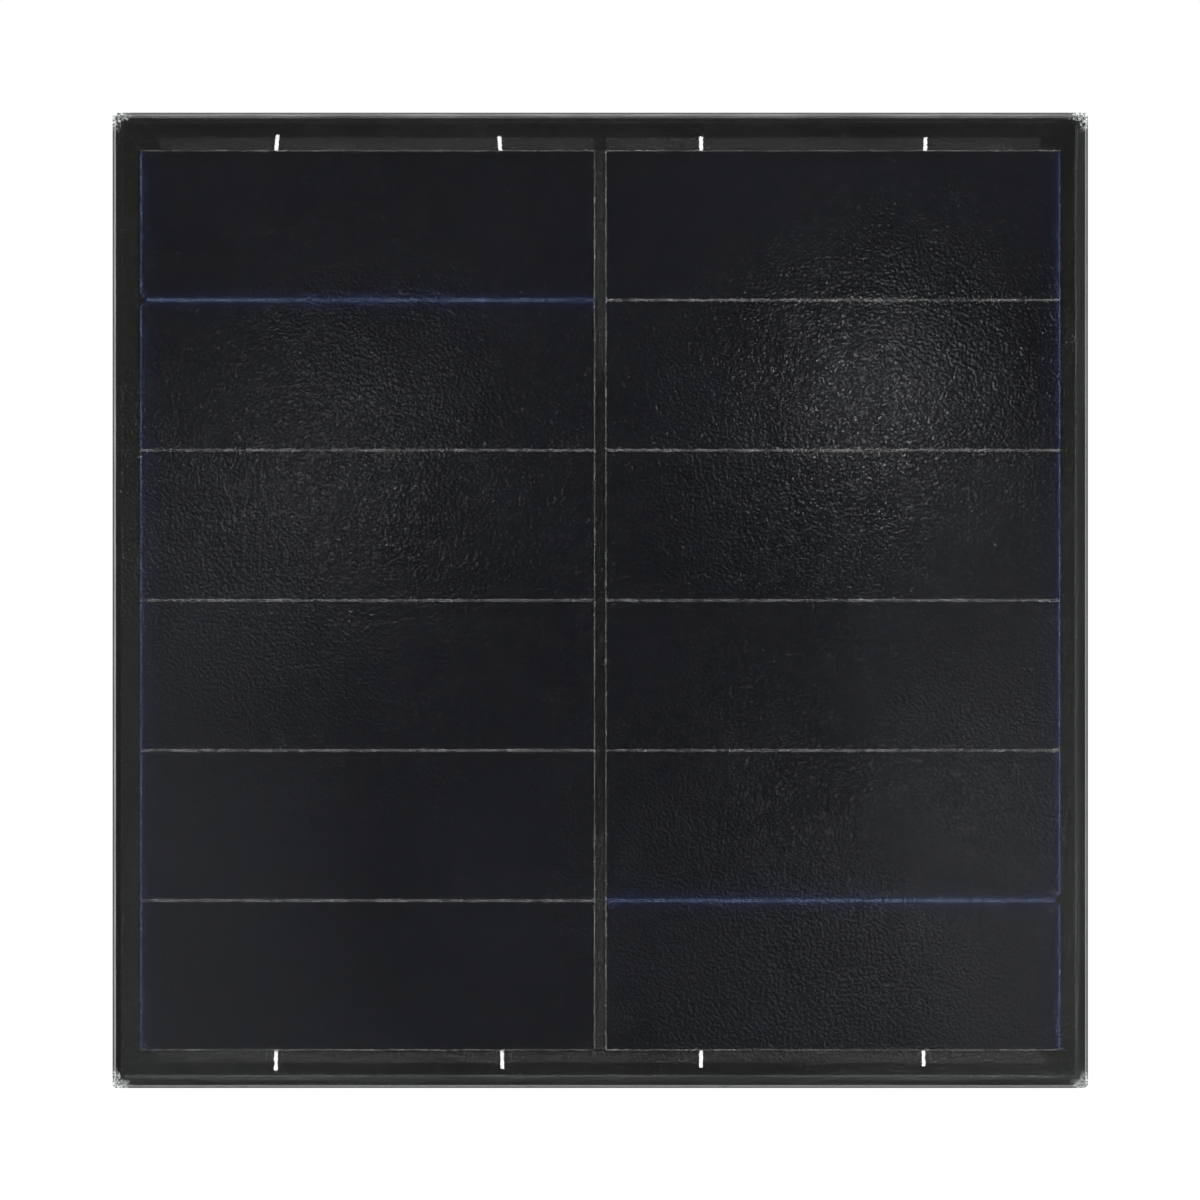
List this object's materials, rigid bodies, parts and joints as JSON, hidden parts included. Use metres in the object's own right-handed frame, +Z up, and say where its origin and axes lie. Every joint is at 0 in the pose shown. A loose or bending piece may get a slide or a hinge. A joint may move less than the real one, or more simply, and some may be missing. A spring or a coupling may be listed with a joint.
{
  "type": "solar panel",
  "caption": "Square frameless glass-laminate solar panel with strip cells in two columns and a rear junction box with a hinged lid and cable glands.",
  "frame": {"origin": "centre of the laminate's rear face", "axes": "+Z up along the panel's height, +X to the right as the glass is looked at, +Y out of the rear face towards the junction box"},
  "size_m": [0.225, 0.0257, 0.225],
  "materials": {
    "solar_glass": "matt textured front, clear, ground edges",
    "clear_encapsulant": "clear film sealed to the glass",
    "silicon_cell": "dark anti-reflective coating",
    "tinned_ribbon": "bright tinned copper",
    "black_ribbon": "black coated copper ribbon",
    "insulation_film": "black polyester film",
    "tinned_lead": "tinned copper, satin",
    "black_encapsulant": "black encapsulant",
    "backsheet_film": "black satin film",
    "silicone_sealant": "black silicone",
    "moulded_box": "fine spark-eroded texture",
    "gasket_rubber": "soft, matt",
    "hinge_steel": "drawn stainless wire",
    "diode_epoxy": "moulded epoxy",
    "terminal_steel": "zinc plated",
    "moulded_gland": "moulded nylon"
  },
  "bodies": {
    "panel": {"backsheet": "backsheet_film", "bus_bottom": "black_ribbon", "bus_top_left": "black_ribbon", "bus_top_right": "black_ribbon", "bypass_diode_left": "diode_epoxy", "bypass_diode_right": "diode_epoxy", "cell_left_1": "silicon_cell", "cell_left_2": "silicon_cell", "cell_left_3": "silicon_cell", "cell_left_4": "silicon_cell", "cell_left_5": "silicon_cell", "cell_left_6": "silicon_cell", "cell_links_left": "black_ribbon", "cell_links_right": "black_ribbon", "cell_right_1": "silicon_cell", "cell_right_2": "silicon_cell", "cell_right_3": "silicon_cell", "cell_right_4": "silicon_cell", "cell_right_5": "silicon_cell", "cell_right_6": "silicon_cell", "diode_wires": "tinned_lead", "front_encapsulant": "clear_encapsulant", "front_glass": "solar_glass", "gland_body_left": "moulded_gland", "gland_body_right": "moulded_gland", "gland_locknut_left": "moulded_gland", "gland_locknut_right": "moulded_gland", "gland_seal_left": "gasket_rubber", "gland_seal_right": "gasket_rubber", "hinge_pin": "hinge_steel", "insulation_strip_lower": "insulation_film", "insulation_strip_upper": "insulation_film", "junction_box_base": "moulded_box", "lead_centre_tap": "tinned_lead", "lead_negative": "tinned_lead", "lead_positive": "tinned_lead", "rail_centre": "tinned_lead", "rail_negative": "tinned_lead", "rail_positive": "tinned_lead", "rear_encapsulant": "black_encapsulant", "silicone_bead": "silicone_sealant", "tabs_bottom_left": "tinned_ribbon", "tabs_bottom_right": "tinned_ribbon", "tabs_top_left": "tinned_ribbon", "tabs_top_right": "tinned_ribbon", "terminal_clamps": "terminal_steel", "terminal_screws": "terminal_steel", "vent_plug": "moulded_gland"},
    "lid": {"junction_box_lid": "moulded_box", "lid_gasket": "gasket_rubber"},
    "nut_left": {"gland_nut_left": "moulded_gland"},
    "nut_right": {"gland_nut_right": "moulded_gland"}
  },
  "joints": [
    {"name": "lid_hinge", "type": "hinge", "parent": "panel", "child": "lid", "pos_m": [0, 0.0183, 0.0622], "axis": [1, 0, 0], "range_deg": [0, 105]},
    {"name": "gland_nut_left_turn", "type": "hinge", "parent": "panel", "child": "nut_left", "pos_m": [-0.017, 0.0083, -0.068], "axis": [0, 0, 1], "continuous": true},
    {"name": "gland_nut_right_turn", "type": "hinge", "parent": "panel", "child": "nut_right", "pos_m": [0.017, 0.0083, -0.068], "axis": [0, 0, 1], "continuous": true}
  ]
}
